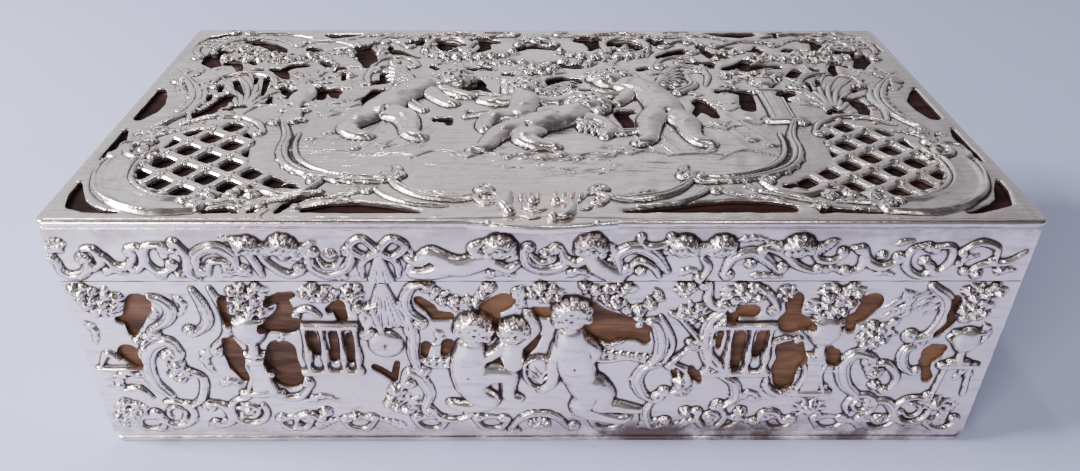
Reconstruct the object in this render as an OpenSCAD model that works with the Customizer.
// Silver casket with a pierced and embossed lid and walls over a wooden lining
// Millimetres, Z up, the front faces -Y, the origin is under the middle of the foot

/* [Chest] */
// Width over the lid's edge moulding
chest_w = 270; // [200:1:340]
// Depth over the lid's edge moulding
chest_d = 143; // [110:1:190]
// Thickness of the silver sheet in walls, skirts and top
sheet_t = 1.2; // [0.8:0.1:1.8]
// Gap between the body and the closed lid
seam_gap = 0.3; // [0.2:0.05:0.6]

/* [Body] */
// Height of the pierced walls above the foot moulding
wall_h = 58.9; // [45:0.1:80]
// Height of the foot moulding
foot_h = 4.4; // [3.5:0.1:8]
// Height of the flat fillet under the foot's roll
fillet_h = 1.7; // [1:0.1:2.4]
// How far the fillet stands out past the walls
fillet_out = 0.6; // [0.3:0.1:1.2]
// How far the roll stands out past the walls
roll_out = 0.4; // [0.2:0.1:1.2]
// Thickness of the base plate
base_t = 1; // [0.6:0.1:1.8]
// Height of the base plate's underside above the table
base_lift = 0.6; // [0.4:0.1:1.2]

/* [Lid] */
// Height of the lid from the seam to the top plate's upper face
lid_h = 20.2; // [17:0.1:30]
// How far the lid's edge stands out past the walls
edge_out = 1.4; // [0.9:0.1:2.4]
// Height of the edge's half-round nose
nose_h = 2.2; // [1.6:0.1:2.6]
// Height of the thin band under the nose
band_h = 0.9; // [0.5:0.1:1.4]
// How far the thin band stands back from the nose
band_back = 0.5; // [0.2:0.1:0.8]

/* [Lining] */
// Thickness of the upright boards and strips
board_t = 4; // [3:0.1:6]
// Thickness of the floor board
floor_t = 5; // [3:0.1:8]
// Thickness of the board under the lid's top plate
lid_board_t = 3.5; // [2.5:0.1:5]
// Gap between the wood and the silver
lining_fit = 0.3; // [0.1:0.05:0.6]
// How far the body's boards stop below the seam
rim_drop = 0.3; // [0:0.1:1]

/* [Hinge] */
// Length of the hinge
hinge_len = 196; // [140:1:200]
// Number of knuckles, shared in turn by body and lid
knuckles = 7; // [5:2:11]
// Outer radius of a knuckle
knuckle_r = 1.9; // [1.6:0.1:2.4]
// Radius of the hinge pin
pin_r = 0.8; // [0.6:0.05:1]
// Running clearance between pin and knuckle, on the radius
pin_fit = 0.05; // [0.03:0.01:0.1]
// Gap between neighbouring knuckles, and between a knuckle and the walls
knuckle_gap = 0.3; // [0.2:0.05:0.5]
// Thickness of a hinge leaf
leaf_t = 0.7; // [0.5:0.1:1]
// Height of a hinge leaf
leaf_h = 6; // [4:0.1:9]
// Radius of the peened head at each end of the pin
head_r = 1.3; // [1.2:0.05:1.5]

/* [Thumb piece] */
// Width of the lip at the middle of the lid's front edge
lip_w = 40; // [30:1:60]
// How far the lip reaches out past the lid's edge
lip_out = 2.7; // [1.5:0.1:4]
// Thickness of the lip
lip_t = 2.4; // [1.6:0.1:3]
// Height of the cast scrolls above the top plate
cast_h = 2.6; // [1.8:0.1:4]
// Depth of the cast ornament, from the lid's edge backwards
cast_d = 15; // [12:0.5:20]

/* [Pierced work] */
// Radius that softens the inner corners of the openings
soften = 0.6; // [0.2:0.1:1]
// Spacing of the trellis bars
trellis_pitch = 9; // [7:0.1:12]
// Width of a trellis bar
trellis_bar = 3.3; // [2:0.1:4]

/* [Embossing] */
// Height of the fullest heads above the sheet they rise from
figure_h = 3.9; // [2:0.1:4]
// Width of the half-round scrolls
scroll_w = 2.4; // [1.2:0.1:2.8]

/* [Hidden] */
// The lid's top plate takes longest to build, so it comes first
$fn = 48;

silver = [0.84, 0.84, 0.86];
walnut = [0.42, 0.25, 0.16];
wall_x = chest_w / 2 - edge_out;
wall_y = chest_d / 2 - edge_out;
seam_z = foot_h + wall_h;
top_z = seam_z + lid_h;
edge_w = sheet_t + edge_out;
edge_h = nose_h + band_h;
foot_in = sheet_t + lining_fit;
foot_w = foot_in + max(fillet_out, roll_out);
skirt_z = seam_z + seam_gap;
skirt_h = top_z - edge_h - skirt_z;
lining_x = wall_x - sheet_t - lining_fit;
lining_y = wall_y - sheet_t - lining_fit;
lining_z = base_lift + base_t;
lid_board_z = top_z - sheet_t - lining_fit - lid_board_t;
strip_z = skirt_z + rim_drop;
hinge_y = wall_y + knuckle_gap + knuckle_r;
hinge_z = seam_z + seam_gap / 2;
web = 0.4;
eps = 0.01;
// How deep embossed forms are rooted in their sheet
root = sheet_t / 2;

// Openings are drawn in the size of the original panels, then fitted to these ones
lid_art = [270, 143];
wall_art = [267.2, 58.9];
side_art = [137.8, 58.9];
skirt_art_h = 16.8;

// Half-round scrolls: centre x, y, radius, first angle and sweep
LID_SCROLLS = [
    [-96, -38, 25, 175, 90], [-60, -29, 20, 165, 105], [-34, 52, 8.2, -30, 300],
    [-54.5, 54, 8, 20, 200], [-103, 15, 10.5, 10, 160], [-119, 53, 9.5, 90, 130],
    [-136, 2, 20, -48, 96], [-29, -45, 14, 200, 90]
];
WALL_SCROLLS = [
    [-91, 49, 8.5, 150, 110], [-106, 29.5, 10, 120, 150], [-44.5, 18, 8, 120, 150],
    [-42, 21, 6, -70, 150], [27, 39, 10, -60, 120], [38.5, 21, 9, 120, 140],
    [47, 18.5, 8.5, -60, 140], [103, 47, 10.5, -70, 110], [99.5, 26, 8.5, 110, 140],
    [-89, 11.5, 5.4, 60, 300], [98, 13, 4.6, 90, 300], [115.5, 10, 5.4, 120, 300],
    [0, -1, 10, 40, 100]
];
SKIRT_SCROLLS = [
    [-125.5, 9, 5.2, 60, 240], [-92, 14, 11, 190, 70], [-60, 3.5, 6.5, 50, 110],
    [31, 1.5, 8, 70, 100], [58, 15, 7, 205, 120], [102.5, 7, 4.6, 130, 300],
    [117, 12.5, 6.5, 200, 130]
];
// One half of a short side; the other half mirrors it
SIDE_SCROLLS = [
    [-8, 34, 19, 95, 170], [-46, 44.5, 9, -60, 110], [-50, 16.5, 7, 60, 200], [-40, 11, 5, 20, 150]
];

// Round bosses, each the cap of a sphere: x, y, radius at the sheet and share of figure_h
LID_BOSSES = [
    [-32, 20.5, 5.6, 1], [-42, 14, 4.4, 0.75], [-48, 5.5, 5, 0.82], [-53.5, -3, 5, 0.87],
    [-4.3, 12.8, 5.4, 0.92], [-5, 3, 4.6, 0.77], [-7, -5, 4.6, 0.72],
    [16.6, -2.6, 5.4, 1], [9.5, -12, 4.6, 0.82], [1.5, -17, 5, 0.87], [-7.5, -17.8, 5, 0.87],
    [25.6, 19.5, 5.5, 1], [35, 13.5, 4.4, 0.75], [40, 6.5, 5, 0.82], [43, -4, 5, 0.87],
    [-58.5, -12, 3.8, 0.6], [-47, -11, 3.8, 0.6], [-43.2, -18, 3.2, 0.5], [-60.3, -18.6, 3, 0.45],
    [-16, -9.5, 3.4, 0.5], [-15.5, -21, 3.8, 0.6], [-20, -27.5, 3.2, 0.5], [-8.5, -25, 3.6, 0.55],
    [36.3, -12.5, 3.8, 0.6], [47.6, -13, 3.8, 0.6], [33.5, -19.5, 3.2, 0.5], [49, -20.5, 3.2, 0.5],
    [0, 29, 4.4, 0.5], [79.5, 24, 5, 0.46], [-80, 7, 4.8, 0.6], [-80, 20, 4.4, 0.46],
    [-109, 46, 3.2, 0.46], [-102, 42, 3, 0.46], [-95, 41, 3.2, 0.46], [-84, 42, 3.2, 0.46],
    [109, 46, 3.2, 0.46], [102, 42, 3, 0.46], [95, 41, 3.2, 0.46], [84, 42, 3.2, 0.46],
    [-30, 41, 2.6, 0.41], [-22, 41, 2.6, 0.41], [30, 41, 2.6, 0.41], [22, 41, 2.6, 0.41]
];
WALL_BOSSES = [
    [-19.3, 41.8, 4.6, 0.87], [-21.5, 33, 4.2, 0.72], [-22, 24.5, 4.8, 0.8], [-23.5, 19, 4, 0.66],
    [-7.3, 42.2, 3.8, 0.72], [-7.2, 32, 3.3, 0.5], [7.6, 47.2, 4.6, 0.87], [10, 37.5, 4.1, 0.72],
    [10.8, 29, 4.7, 0.8], [14, 23, 4, 0.66], [-84, 52.5, 4.4, 0.56], [82.5, 53, 4.4, 0.56],
    [-14.5, 15.5, 3.4, 0.5], [-23.4, 11.5, 3.4, 0.5], [11.5, 16, 3.4, 0.5], [19.3, 17.5, 3.4, 0.5],
    [-84, 40, 4.2, 0.56], [82, 39.5, 4.2, 0.56], [-45.2, 36.5, 4.8, 0.46], [-125, 52, 3.6, 0.41],
    [122.5, 52.5, 3.6, 0.41], [124, 37, 3.4, 0.41]
];
SKIRT_BOSSES = [
    [-71.5, 11.5, 3.6, 0.72], [-11.3, 11.7, 3.5, 0.72], [-20, 7.6, 3, 0.5], [-26.5, 6.6, 3.3, 0.54],
    [12.2, 11.5, 3.6, 0.72], [70, 11.5, 3.6, 0.72], [-44.5, 10.5, 1.8, 0.5]
];
SIDE_BOSSES = [
    [-56.5, 52, 4.2, 0.33], [56.5, 52, 4.2, 0.33], [-53, 39.5, 3.8, 0.33], [53, 39.5, 3.8, 0.33],
    [0, 55, 3.4, 0.33]
];

// Each opening is a chain of round lobes: x, y and radius
LID_LEFT = [
    [[-117.5, 65, 0.9], [-122, 63.8, 1.9], [-126.5, 61, 2.3], [-129.8, 56, 1], [-130.6, 51, 0.5]],
    [[-114.5, 45.5, 1.8], [-119, 47.5, 1.8], [-121.3, 43, 2.8], [-120.6, 38, 3.3], [-117.6, 34, 2.4]],
    [[-112, 57, 1.2], [-106.5, 55.5, 2.8], [-101.8, 53, 3.2], [-97.5, 49, 2.9], [-95.5, 45, 1.7]],
    [[-82.5, 64.8, 1.2], [-79.5, 63.6, 2.1], [-74.5, 64.3, 1.7], [-68.5, 65.1, 0.9]],
    [[-86.2, 50.5, 1.9], [-83.5, 48, 2.9]],
    [[-77, 49.5, 1], [-72, 50, 1.1], [-66, 49, 2.6], [-62.3, 54.8, 1]],
    [[-65.3, 49, 2.6], [-64.2, 43.5, 4.2], [-61.8, 37.5, 3.2], [-62.5, 34, 1.6]],
    [[-56, 53, 0.9], [-55.8, 48.8, 1.6], [-52, 46.5, 2.6], [-47.5, 43, 1.8], [-44, 41.6, 0.9]],
    [[-49, 55, 1.8], [-45.5, 56.5, 2.8], [-44.6, 59, 1.2]],
    [[-113.5, 36.3, 2], [-110.5, 36, 2.1], [-108.3, 32, 1.5], [-107.3, 28.3, 1.2]],
    [[-104.7, 37, 1.2], [-103.5, 35.8, 0.9]],
    [[-102.5, 30, 1.1], [-99.5, 30.3, 0.9]],
    [[-96, 30.5, 1.3], [-93, 29.5, 2.4], [-90.5, 25.5, 2.1], [-89, 22.5, 1.2]],
    [[-92, 30, 1.8], [-89, 33.5, 2.4], [-85, 34.5, 2.1]],
    [[-79, 36.5, 1], [-76, 34, 1.9]],
    [[-73, 28.5, 0.8], [-70, 31.3, 1.3]],
    [[-69.3, 26, 0.9], [-68.7, 22, 1]],
    [[-106, 19.5, 1.3], [-103.8, 14.5, 1.4], [-101, 9, 0.6]],
    [[-99.8, 23, 0.9], [-98.7, 17, 0.6]],
    [[-95.8, 22, 1.3], [-94.7, 15, 1.2], [-94, 8, 0.5]],
    [[-112.5, 16.3, 0.9], [-109.8, 14.3, 1.2], [-109.2, 11.5, 0.7]],
    [[-111.5, 7.5, 1], [-111.2, 4.5, 0.8]],
    [[-105, 7.5, 2.3], [-106, 3, 2.8], [-107.5, -2, 2.7], [-110.3, -6.6, 2.9]],
    [[-103.5, -3.2, 0.8], [-100.5, -1.3, 1.4], [-97.5, -1.6, 1.3]],
    [[-89.5, 15, 0.8], [-86.5, 11.5, 1.8], [-83.7, 9, 2], [-85, 5.5, 0.9]],
    [[-90.9, 7, 0.8], [-90.4, 2.5, 1.2]],
    [[-73.5, 6.5, 1.6], [-74.3, 12, 1.6], [-70, 11.5, 2.7], [-69, 7, 1.3]],
    [[-57.5, 18.5, 1.4], [-53.8, 20.5, 2.2], [-54.8, 26, 1.8]],
    [[-50.3, 13.3, 1], [-55, 10.5, 3.2], [-57.5, 5, 2.5], [-56.3, 0, 2.2], [-54.5, -4.5, 2.3]],
    [[-129.5, 12, 1.7], [-128.6, 7.5, 2.6], [-128, 2, 3.2], [-128.2, -3.5, 3.1], [-129.5, -8.5, 1.9]],
    [[-130.3, -18, 1], [-129.4, -24, 1.8], [-129.7, -30, 1.6], [-130.8, -36, 0.6]],
    [[-130.6, -50.5, 0.7], [-129.3, -56, 2], [-127.3, -61, 2.7], [-123.5, -63.5, 1.9],
        [-119, -65.1, 0.9], [-114, -65.8, 0.4]],
    [[-91, -65.3, 0.8], [-86, -64.4, 1.3], [-82.5, -65.4, 0.6]],
    [[-79, -65.3, 0.8], [-76.5, -63.9, 1.4]],
    [[-71.5, -65.4, 0.9], [-69.8, -61.8, 1.4], [-66.3, -58.9, 1.1], [-59.5, -57.9, 0.6]],
    [[-64.3, -64.5, 1.3], [-58, -63.4, 2.4], [-50, -63.2, 2.7], [-42, -64, 1.9], [-33, -65.6, 0.4]],
    [[-74.5, -53.3, 0.6], [-71, -51.8, 1.3], [-68.3, -52.7, 0.5]]
];
LID_MIDDLE = [
    [[-36.3, 54.5, 3.2], [-34.5, 49.8, 2.7]],
    [[-36, 55, 2.9], [-29, 53.5, 2.1]],
    [[-25, 60.3, 1], [-20.5, 58, 2.4], [-15.5, 57.3, 1.8]],
    [[-20.5, 58, 2.4], [-19.5, 52, 2.2], [-22, 48.5, 1.3]],
    [[-20, 67.4, 0.5], [-9, 67, 0.8]],
    [[8.5, 67.3, 0.8], [12.5, 67.3, 0.6]],
    [[-7, 50, 1.6], [-4, 51.5, 1.5], [0, 53, 2], [4.5, 51.3, 1.5], [8.7, 50, 1.7]],
    [[16, 59.5, 1.8], [21, 58.5, 3.1], [25.3, 60.8, 0.9]],
    [[21, 58, 2.9], [22, 52.5, 2.3], [20.5, 49.5, 1]],
    [[29.5, 54.5, 2.5], [36, 55, 2.3], [38.5, 50.5, 2.5]],
    [[-38.5, 33, 0.9], [-36, 31, 1.2]],
    [[-24.5, 31, 1.4], [-20, 31.3, 1.3], [-17, 30.5, 1.1]],
    [[-20.3, 21, 0.9], [-19.5, 17, 1.7], [-23.5, 12.5, 1.6]],
    [[-19.6, 15, 1.7], [-16.5, 11.4, 0.8]],
    [[-12, 26.5, 1.1], [-8.7, 25.3, 0.9]],
    [[3.5, 37, 0.7], [10, 33.5, 1.4], [15.5, 33, 1.5]],
    [[4.5, 15.5, 0.8], [4.5, 21, 1.9], [9, 21.5, 2.7], [13.5, 20.5, 2.4]],
    [[13, 12.8, 0.9], [18, 12, 1.4], [21.5, 10.5, 0.9]],
    [[-14.5, 2.2, 0.7], [-12, 1.8, 1]],
    [[-33.5, -10, 1.3], [-29.3, -10, 1.8], [-28.8, -13, 1]],
    [[-22.8, -4.8, 1.1], [-21, -7, 1.5]],
    [[31, -4.5, 1.2], [26.7, -5.5, 2.3], [28.2, -12, 2.3], [28.5, -16.5, 1.6]]
];
LID_RIGHT = [
    [[44.5, 58, 2], [47.5, 55.8, 2.8], [51.8, 54.2, 1.1]],
    [[55.3, 48, 2.3], [51, 45.5, 3], [46.5, 42.5, 2.2]],
    [[62.2, 52.5, 1.2], [63.8, 47.5, 2], [65.5, 43.2, 1.9], [71, 42.7, 1.3]],
    [[70, 50.3, 0.8], [75, 51, 0.8]],
    [[79, 47.5, 1.1], [83.7, 48.5, 2.8], [84, 43.8, 1.2]],
    [[84, 52.5, 0.9], [83.7, 48.5, 2.6]],
    [[99.5, 48.5, 1.4], [95.5, 48.5, 2.5]],
    [[103.5, 57.8, 0.9], [108.5, 58, 2.1], [108, 53, 2.5], [106, 48.5, 1.8]],
    [[112.5, 44.5, 1.3], [117, 46.8, 2.1], [120.5, 45, 3.5], [121, 39, 3.1], [118, 33.5, 2.3]],
    [[121.5, 65.5, 0.6], [125.5, 62.7, 1.2], [129, 59.5, 0.7]],
    [[130.7, 55, 0.6], [131.2, 48.5, 0.4]],
    [[51, 67.4, 0.4], [60.5, 67.2, 0.5]],
    [[67.5, 66.2, 0.8], [73, 65.3, 1.5], [80, 64.8, 2.7], [86, 66.1, 1.3]],
    [[98, 67, 0.6], [93.5, 66, 1.6], [94.2, 62.5, 0.8]],
    [[37, 30.5, 1.3], [39.5, 31.5, 1.5]],
    [[48, 27.5, 1.9], [50, 24.8, 1.7]],
    [[54, 3, 2.6], [56, -3, 3], [57.5, -7, 1.7]],
    [[54.5, 1, 1.9], [50.5, -7, 1.1]],
    [[61.5, 11.8, 1], [67, 12, 1.5], [71.3, 10.5, 2.3], [70.5, 4, 2.8], [69.8, -1, 2.7]],
    [[84.5, 4.3, 1.1], [82.5, 7.5, 1.8], [86.5, 10.5, 2.2]],
    [[55, 37, 0.9], [60, 35.5, 1.4], [64, 36.2, 1.8], [63.5, 33, 1.1]],
    [[69, 31.5, 2.2], [73.5, 33, 3.4], [76.8, 37, 2.1]],
    [[77.8, 26.8, 1.7], [75, 32, 2.9], [83, 33.5, 2.2], [88, 33, 1.6]],
    [[91, 25.5, 2.1], [93.5, 29, 2.2]],
    [[99.3, 31.5, 0.8], [101, 28.5, 1.5]],
    [[109, 36, 0.9], [107.3, 31.5, 1.5], [106.5, 26.5, 1.8]],
    [[110.8, 35.5, 1.1], [113.2, 33.8, 0.9]],
    [[94.8, 18.5, 0.9], [94.5, 12, 0.7]],
    [[99, 21.5, 0.9], [98, 16, 0.8]],
    [[104, 4.5, 1.9], [107, 3.5, 2.7], [107.5, -2, 2.4], [106.8, -6, 1.7]],
    [[98.3, -2, 1.1], [95.5, -5, 1.1], [99.8, -5, 1.3]],
    [[108.5, 12.3, 0.9], [112, 14.5, 1.2]],
    [[130.7, 14, 0.8], [129.3, 9.5, 2], [127.9, 4, 3.3], [128, -2, 3.2], [129, -7.5, 2.2]],
    [[131.2, -16.5, 0.6], [130.4, -21, 1.2], [130.3, -27, 1.3], [130.8, -32.5, 1.1], [131.4, -37, 0.4]],
    [[130.7, -49, 0.8], [129.3, -54, 1.9], [127.2, -60, 2.2], [123.3, -62.6, 1.5],
        [118.5, -64.8, 1], [115, -65.6, 0.5]],
    [[69, -51.8, 0.8], [72.5, -52, 1.2], [74.5, -53.3, 0.7]],
    [[75.5, -65.4, 0.7], [79, -64.5, 1.1], [86, -65.4, 0.7], [92, -65.7, 0.4]],
    [[22, -65.4, 0.4], [36, -64, 1.5], [45, -63, 2.6], [53, -62.6, 3], [61, -62.7, 2.9], [67.5, -63.5, 2.1]]
];
// The field that the left trellis fills, drawn as a chain too; the right one mirrors it
TRELLIS_FIELD = [
    [-98, -18, 5.5], [-101, -28, 13], [-102, -40, 15.5], [-98, -47.5, 11], [-87, -48.5, 7.5],
    [-77, -51, 3.8], [-70, -52, 1]
];
trellis_turn = -31.5;
trellis_at = [-97, -15.5];

// Height is measured up from the wall's foot
WALL_OPENINGS = [
    [[-113.8, 50.8, 3.8], [-116.6, 45, 3.2], [-117.9, 40.6, 1.6]],
    [[-116.6, 45, 3.2], [-120.8, 45.2, 1.1]],
    [[-121.2, 32.4, 3.3], [-119.5, 29, 2.4]],
    [[-89.6, 52.4, 1.6], [-90.2, 48.5, 1.2], [-89.4, 45, 1.6]],
    [[-70.3, 54, 1.2], [-73.5, 53, 1.9], [-77, 51.8, 1.3]],
    [[-73, 53, 1.7], [-72.8, 49, 2.5], [-73.2, 44.5, 4.5], [-78.8, 43, 2.4]],
    [[-91, 38, 1.6], [-90, 31.5, 3.5], [-90.2, 27.5, 2.6], [-88.8, 22.6, 1.5]],
    [[-76.2, 33, 4.5], [-76.8, 29, 5], [-75.6, 23.5, 4.9]],
    [[-66.5, 39.3, 1.6], [-66.3, 35, 1.6], [-65.8, 32.3, 1]],
    [[-60.4, 39.3, 1.5], [-60.6, 34, 1.2], [-61, 30.2, 1.3]],
    [[-55.5, 39, 1.3], [-55.6, 34, 1.4], [-56, 29.5, 1]],
    [[-60.3, 48.6, 1.2], [-57.7, 50.2, 2.2], [-57, 46.2, 1.9]],
    [[-49.4, 26.8, 1.2], [-46.6, 24.8, 1.3], [-44, 22.2, 1.3], [-42.6, 28.3, 1]],
    [[-34.7, 52, 1.5], [-31.8, 49.2, 1.7], [-30.3, 46.5, 1.8], [-26.3, 46.3, 1.5]],
    [[-33.6, 35.3, 1.6], [-34.3, 31.8, 1.2]],
    [[-27.2, 35.8, 2], [-28.4, 32.3, 1.3]],
    [[-10.8, 51.5, 3.1], [-15, 49, 3], [-14.3, 45, 2.8], [-14.3, 40.5, 1.7], [-14.8, 37.8, 1.2]],
    [[-2, 48, 1.7], [1.3, 47.6, 2.1]],
    [[-1.6, 38.4, 1.8], [-2.6, 35, 1.5], [-4, 32.8, 1.2]],
    [[14.5, 49.8, 1.8], [17, 45, 4], [23, 42, 4.6], [28, 41.2, 3.9], [30.3, 37.6, 1.8]],
    [[17, 44, 3.4], [14.3, 40.8, 2.4], [20, 38.5, 2.2]],
    [[39.6, 26.4, 1.2], [40.2, 23.8, 0.9]],
    [[44.8, 26.2, 1.2], [47, 22.8, 1.6], [48, 21, 0.9]],
    [[54.8, 45.8, 1.9], [54.3, 48.3, 1.9], [60.3, 48, 2.3]],
    [[52.2, 39.8, 1.1], [52, 35, 0.9]],
    [[58, 39, 1.9], [58, 33, 1.8], [57.7, 27.3, 1.6]],
    [[64.3, 39.3, 1.6], [64, 34.5, 1.6], [63.6, 31.6, 1.1]],
    [[71.5, 52.2, 2.9], [72, 48, 2.3], [72, 44, 4.1], [77, 43.6, 2]],
    [[73.3, 33.8, 4.4], [74.3, 30.5, 4.4], [72.8, 26, 3.8], [73.5, 21.5, 3.3]],
    [[85.4, 34, 1.1], [86.3, 31.5, 2.6], [87, 29.3, 2.1]],
    [[90.8, 52.6, 1.3], [93.8, 51.3, 3.3], [91.6, 46.4, 2.3], [88.8, 44.6, 2.2], [89.5, 41.7, 1.5]],
    [[117.3, 52, 1.7], [116.6, 47.6, 1.3], [117.8, 44.6, 1.7], [115, 40.5, 1.7]],
    [[118, 33.7, 1.8], [116, 32.3, 3.4], [114.6, 29, 2.1], [115.6, 25.6, 1.3], [116.6, 22.6, 1.8]]
];
// One half of a side wall's openings; the other half mirrors it
SIDE_OPENINGS = [
    [[-58, 50.5, 2.6], [-59.5, 45, 3.2], [-57.5, 39.5, 2]],
    [[-61, 31.5, 2.8], [-59.5, 27, 2.2], [-60.5, 22.5, 1.4]],
    [[-41, 52, 1.5], [-44.5, 48.5, 2.4], [-43.5, 43.5, 2.8], [-46.5, 39, 1.8]],
    [[-45, 31, 2], [-44, 26.5, 3], [-46.5, 21.5, 1.8]],
    [[-29.5, 53, 1.6], [-33, 50.5, 2], [-31.5, 47, 1.2]],
    [[-31, 24, 1.3], [-33.5, 19.5, 2.1], [-29.5, 16.8, 1.3]],
    [[-13, 53.2, 1.2], [-9, 53.8, 1.9], [-4.5, 52.6, 1]],
    [[-12, 13.8, 1], [-8, 13, 1.6], [-4, 14.2, 0.9]]
];
SIDE_FIELD = [[-16, 33, 7], [-8, 33.5, 12.5], [8, 33.5, 12.5], [16, 33, 7]];
side_trellis_pitch = 7.4;

function fit_x(size, art) = size[0] / art[0];
function fit_y(size, art) = size[1] / art[1];
function unit(v) = v / norm(v);

// A straight-sided link between two lobes, tangent to both on either side
module link(p, q) {
    along = [q[0] - p[0], q[1] - p[1]];
    side = unit([-along[1], along[0]]);
    polygon([
        [p[0], p[1]] + side * p[2], [q[0], q[1]] + side * q[2],
        [q[0], q[1]] - side * q[2], [p[0], p[1]] - side * p[2]
    ]);
}

module chain(lobes) {
    for (lobe = lobes)
        translate([lobe[0], lobe[1]]) circle(lobe[2], $fn = lobe[2] > 1.5 ? 12 : 8);
    for (i = [1:len(lobes) - 1])
        link(lobes[i - 1], lobes[i]);
}

module openings(chains) {
    offset(delta = -soften) offset(delta = soften)
        for (lobes = chains) chain(lobes);
}

// A square of half width w with its corners cut off
function hole_outline(w) = [
    for (a = [0:90:270], c = [[1, -0.55], [1, 0.55]])
        w * [c[0] * cos(a) - c[1] * sin(a), c[0] * sin(a) + c[1] * cos(a)]
];

// Square holes in rows and columns, clipped to the chain that outlines the field
module trellis(field, at, turn, pitch) {
    intersection() {
        chain(field);
        translate(at) rotate(turn)
            for (i = [-9:9], j = [-9:9])
                translate([i, j] * pitch) polygon(hole_outline((pitch - trellis_bar) / 2));
    }
}

module lid_art_openings() {
    openings(concat(LID_LEFT, LID_MIDDLE, LID_RIGHT));
    for (side = [0, 1]) mirror([side, 0])
        trellis(TRELLIS_FIELD, trellis_at, trellis_turn, trellis_pitch);
}

module side_art_openings() {
    for (side = [0, 1]) mirror([side, 0]) openings(SIDE_OPENINGS);
    trellis(SIDE_FIELD, [0, 33.5], 45, side_trellis_pitch);
}

// The first shape with the others sawn out of it, as one outline with its holes
module cut_sheet() {
    offset(delta = 0) difference() {
        children(0);
        children([1:1:$children - 1]);
    }
}

// A sheet standing on its long edge: x along, y up, and its outer face at y = 0 after turning
module upright_sheet(size, t) {
    rotate([90, 0, 0]) translate([0, 0, -t])
        linear_extrude(t) cut_sheet() {
            translate([-size[0] / 2, 0]) square(size);
            children();
        }
}

// Turns one side of the chest to the front: 0 front, 1 right, 2 back, 3 left
module on_side(turn, x, y) {
    reach = turn % 2 == 0 ? y : x;
    rotate(90 * turn) translate([0, -reach, 0]) children();
}

function side_len(turn, x, y) = 2 * (turn % 2 == 0 ? x : y);

// Relief that stays below a height, and relief that stays above one
function below(rows, y) = [for (row = rows) if (row[1] + row[2] + scroll_w / 2 < y) row];
function above(rows, y) = [for (row = rows) if (row[1] - row[2] - scroll_w / 2 > y) row];

// Half-round bars bent round their centres, standing on the plane z = 0
module scrollwork(scrolls, fit) {
    for (s = scrolls)
        translate([s[0] * fit[0], s[1] * fit[1]]) rotate(s[3]) rotate_extrude(angle = s[4])
            intersection() {
                translate([s[2], 0]) circle(scroll_w / 2, $fn = 16);
                translate([s[2] - scroll_w, -root]) square([2 * scroll_w, 2 * scroll_w]);
            }
}

module embossing(bosses, fit) {
    intersection() {
        union() for (b = bosses) {
            h = b[3] * figure_h;
            r = (b[2] * b[2] + h * h) / (2 * h);
            translate([b[0] * fit[0], b[1] * fit[1], h - r]) sphere(r);
        }
        translate([-chest_w, -chest_w, -root]) cube([2 * chest_w, 2 * chest_w, 2 * figure_h]);
    }
}

// Turns relief drawn flat so that it stands on a wall's outer face
module on_wall() {
    rotate([90, 0, 0]) children();
}

module pierced_wall(turn) {
    long = turn % 2 == 0;
    size = [long ? 2 * wall_x : 2 * (wall_y - sheet_t), wall_h];
    art = long ? wall_art : side_art;
    fit = [fit_x(size, art), fit_y(size, art)];
    clear = (wall_h - (turn == 2 ? leaf_h : 0)) / fit[1];
    on_side(turn, wall_x, wall_y) translate([0, 0, foot_h]) {
        upright_sheet(size, sheet_t)
            scale(fit) if (long) openings(WALL_OPENINGS); else side_art_openings();
        on_wall() {
            if (long) scrollwork(below(WALL_SCROLLS, clear), fit);
            else for (side = [0, 1]) mirror([side, 0]) scrollwork(SIDE_SCROLLS, fit);
            embossing(below(long ? WALL_BOSSES : SIDE_BOSSES, clear), fit);
        }
    }
}

module skirt(turn) {
    long = turn % 2 == 0;
    size = [long ? 2 * wall_x : 2 * (wall_y - sheet_t), skirt_h];
    fit = [fit_x(size, wall_art), size[1] / skirt_art_h];
    clear = turn == 2 ? leaf_h / fit[1] : 0;
    on_side(turn, wall_x, wall_y) translate([0, 0, skirt_z]) {
        upright_sheet(size, sheet_t);
        if (long) on_wall() {
            scrollwork(above(SKIRT_SCROLLS, clear), fit);
            embossing(above(SKIRT_BOSSES, clear), fit);
        }
    }
}

// A moulding along one side, mitred through the centre of each rounded corner.
// The profile is drawn outwards from the corner's centre and up from z = 0.
module rail(turn, x, y, w) {
    length = side_len(turn, x - w, y - w);
    on_side(turn, x - w, y - w) {
        translate([length / 2, 0, 0]) rotate([90, 0, -90]) linear_extrude(length) children();
        translate([length / 2, 0, 0]) rotate(-90) rotate_extrude(angle = 45) children();
        translate([-length / 2, 0, 0]) rotate(-135) rotate_extrude(angle = 45) children();
    }
}

module edge_profile() {
    nose_r = nose_h / 2;
    start = -acos(max(nose_r - band_back, 0) / nose_r);
    polygon(concat(
        [[0, 0], [edge_w - band_back, 0]],
        [for (a = [start:(90 - start) / 9:90.01])
            [edge_w - nose_r + nose_r * cos(a), band_h + nose_r + nose_r * sin(a)]],
        [[0, edge_h]]
    ));
}

module foot_profile() {
    roll_z = (foot_h + fillet_h) / 2;
    roll_r = (foot_h - fillet_h) / 2;
    square([foot_in, foot_h]);
    square([foot_in + fillet_out, fillet_h]);
    polygon([for (a = [-90:15:90]) [foot_in - eps + roll_out * cos(a), roll_z + roll_r * sin(a)]]);
}

module foot(turn) {
    color(silver) rail(turn, wall_x - foot_in + foot_w, wall_y - foot_in + foot_w, foot_w)
        foot_profile();
}

module lid_edge(turn) {
    color(silver) translate([0, 0, top_z - edge_h])
        rail(turn, chest_w / 2, chest_d / 2, edge_w) edge_profile();
}

module base_plate() {
    inner = [lining_x, lining_y];
    color(silver) translate([-inner[0], -inner[1], base_lift])
        cube([2 * inner[0], 2 * inner[1], base_t]);
}

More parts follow.
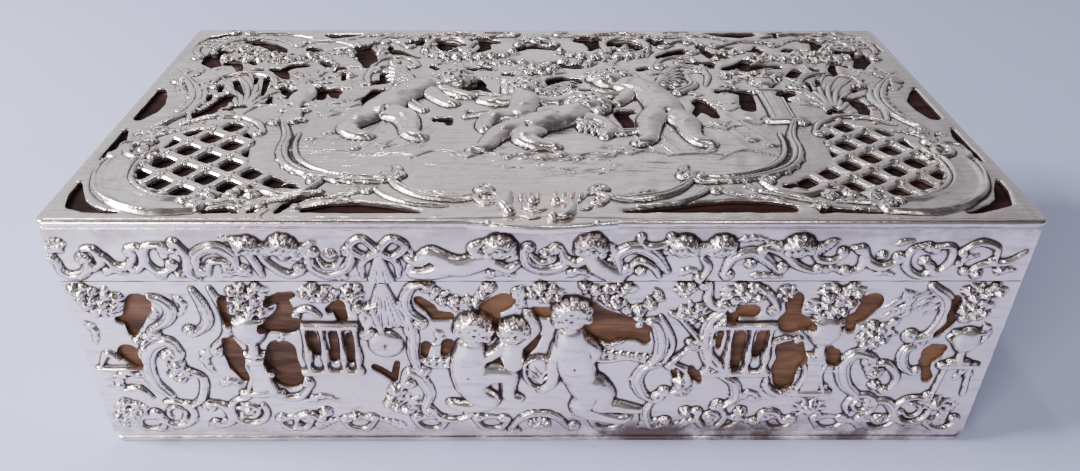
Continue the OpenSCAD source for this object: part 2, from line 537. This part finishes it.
module floor_board() {
    x = lining_x - board_t;
    y = lining_y - board_t;
    color(walnut) translate([-x, -y, lining_z]) cube([2 * x, 2 * y, floor_t]);
}

// Front and back boards run the full width, and the side boards fit between them
module upright_board(turn, z, h) {
    length = turn % 2 == 0 ? 2 * lining_x : 2 * (lining_y - board_t);
    color(walnut) on_side(turn, lining_x, lining_y)
        translate([-length / 2, 0, z]) cube([length, board_t, h]);
}

module lining_side(turn) {
    upright_board(turn, lining_z, seam_z - rim_drop - lining_z);
}

module lid_lining_side(turn) {
    upright_board(turn, strip_z, lid_board_z - strip_z);
}

module lid_lining_board() {
    color(walnut) translate([-lining_x, -lining_y, lid_board_z])
        cube([2 * lining_x, 2 * lining_y, lid_board_t]);
}

module lid_top() {
    x = chest_w / 2 - edge_w;
    y = chest_d / 2 - edge_w;
    size = [chest_w, chest_d];
    fit = [fit_x(size, lid_art), fit_y(size, lid_art)];
    color(silver) {
        translate([0, 0, top_z - sheet_t]) linear_extrude(sheet_t) cut_sheet() {
            square([2 * x, 2 * y], center = true);
            scale(fit) lid_art_openings();
        }
        translate([0, 0, top_z]) {
            for (side = [0, 1]) mirror([side, 0]) scrollwork(LID_SCROLLS, fit);
            embossing(LID_BOSSES, fit);
        }
    }
}

knuckle_step = hinge_len / knuckles;

module knuckle(i) {
    length = knuckle_step - knuckle_gap;
    translate([-hinge_len / 2 + knuckle_step * (i + 0.5), 0, 0]) children();
}

module leaf(own, up) {
    length = knuckle_step - knuckle_gap;
    clear = knuckle_r + web;
    color(silver) translate([0, hinge_y, hinge_z]) difference() {
        union() {
            translate([-hinge_len / 2, -knuckle_gap - knuckle_r, up > 0 ? clear : -leaf_h])
                cube([hinge_len, leaf_t, leaf_h - clear]);
            for (i = [own:2:knuckles - 1]) knuckle(i) {
                rotate([0, 90, 0]) cylinder(h = length, r = knuckle_r, center = true);
                translate([-length / 2, -knuckle_gap - knuckle_r, up > 0 ? 0 : -clear - eps])
                    cube([length, leaf_t, clear + eps]);
            }
        }
        rotate([0, 90, 0]) cylinder(h = hinge_len + 2, r = pin_r + pin_fit, center = true);
    }
}

module hinge_leaf_body() { leaf(0, -1); }
module hinge_leaf_lid() { leaf(1, 1); }

module hinge_pin() {
    head_t = 0.5;
    length = hinge_len - knuckle_gap + 2 * pin_fit;
    color(silver) translate([0, hinge_y, hinge_z]) rotate([0, 90, 0]) {
        cylinder(h = length + 2 * head_t, r = pin_r, center = true);
        for (end = [-1, 1])
            translate([0, 0, end * (length + head_t) / 2])
                cylinder(h = head_t, r = head_r, center = true);
    }
}

// Half-round scroll bar bent round a centre, standing on z = 0
module scroll(at, r, from, sweep, w, h) {
    translate(at) rotate(from) rotate_extrude(angle = sweep)
        intersection() {
            translate([r, h - w / 2]) circle(w / 2, $fn = 24);
            translate([r - w, -eps]) square([2 * w, h + 1]);
        }
}

// The cast ornament on a thin bed: volutes, flutes, a broad tongue, a hooked tail and balls,
// placed from the middle of the lid's front edge
module cast_scrolls(bed_t) {
    h = cast_h - bed_t;
    translate([0, 0, bed_t - eps]) {
        for (side = [-1, 1]) scroll([side * 15.4, 11.5, 0], 2.1, side > 0 ? -90 : 0, 270, 1.8, 0.8 * h);
        scroll([-2, 9, 0], 8, 145, 70, 3.6, h);
        scroll([1.2, 6, 0], 4.4, -50, 110, 2.6, h);
        for (x = [-6, -2.6, 3.7, 8, 11.4])
            translate([x, 10.5, 0]) rotate([-90, 0, 0]) cylinder(h = 4, r = 1.3, $fn = 24);
        for (spot = [[-9, 4.6, 2], [-2.6, 10, 1.7], [3.7, 10, 1.7], [2.6, 1.9, 1.7]])
            translate([spot[0], spot[1], 0.2]) sphere(spot[2], $fn = 32);
    }
}

module thumb_piece() {
    front = chest_d / 2;
    lip_r = (lip_w * lip_w / 4 + lip_out * lip_out) / (2 * lip_out);
    bed_t = 0.5;
    bed_w = 36;
    round_r = 5;
    color(silver) difference() {
        union() {
            translate([0, lip_r - front - lip_out, top_z - lip_t])
                intersection() {
                    cylinder(h = lip_t + bed_t, r = lip_r, $fn = 96);
                    translate([-lip_w / 2, -lip_r, 0])
                        cube([lip_w, lip_out + edge_out, lip_t + bed_t]);
                }
            translate([0, -front, top_z]) {
                translate([0, edge_out - eps, 0]) linear_extrude(bed_t) offset(round_r)
                    translate([round_r - bed_w / 2, round_r])
                        square([bed_w - 2 * round_r, cast_d - edge_out - 2 * round_r]);
                cast_scrolls(bed_t);
                for (side = [-1, 1])
                    translate([side * 14.3, -0.35 * lip_out, 0]) sphere(0.9, $fn = 24);
            }
        }
        translate([-chest_w / 2, -front, top_z - edge_h - 1]) cube([chest_w, chest_d, edge_h + 1]);
    }
}

base_plate();
foot(0);  // foot_front
foot(1);  // foot_right
foot(2);  // foot_back
foot(3);  // foot_left
color(silver) pierced_wall(0);  // wall_front
color(silver) pierced_wall(1);  // wall_right
color(silver) pierced_wall(2);  // wall_back
color(silver) pierced_wall(3);  // wall_left
floor_board();  // lining_floor
lining_side(0);  // lining_front
lining_side(1);  // lining_right
lining_side(2);  // lining_back
lining_side(3);  // lining_left
hinge_leaf_body();
hinge_pin();
lid_top();
lid_edge(0);  // lid_edge_front
lid_edge(1);  // lid_edge_right
lid_edge(2);  // lid_edge_back
lid_edge(3);  // lid_edge_left
color(silver) skirt(0);  // lid_skirt_front
color(silver) skirt(1);  // lid_skirt_right
color(silver) skirt(2);  // lid_skirt_back
color(silver) skirt(3);  // lid_skirt_left
lid_lining_board();
lid_lining_side(0);  // lid_lining_front
lid_lining_side(1);  // lid_lining_right
lid_lining_side(2);  // lid_lining_back
lid_lining_side(3);  // lid_lining_left
hinge_leaf_lid();
thumb_piece();
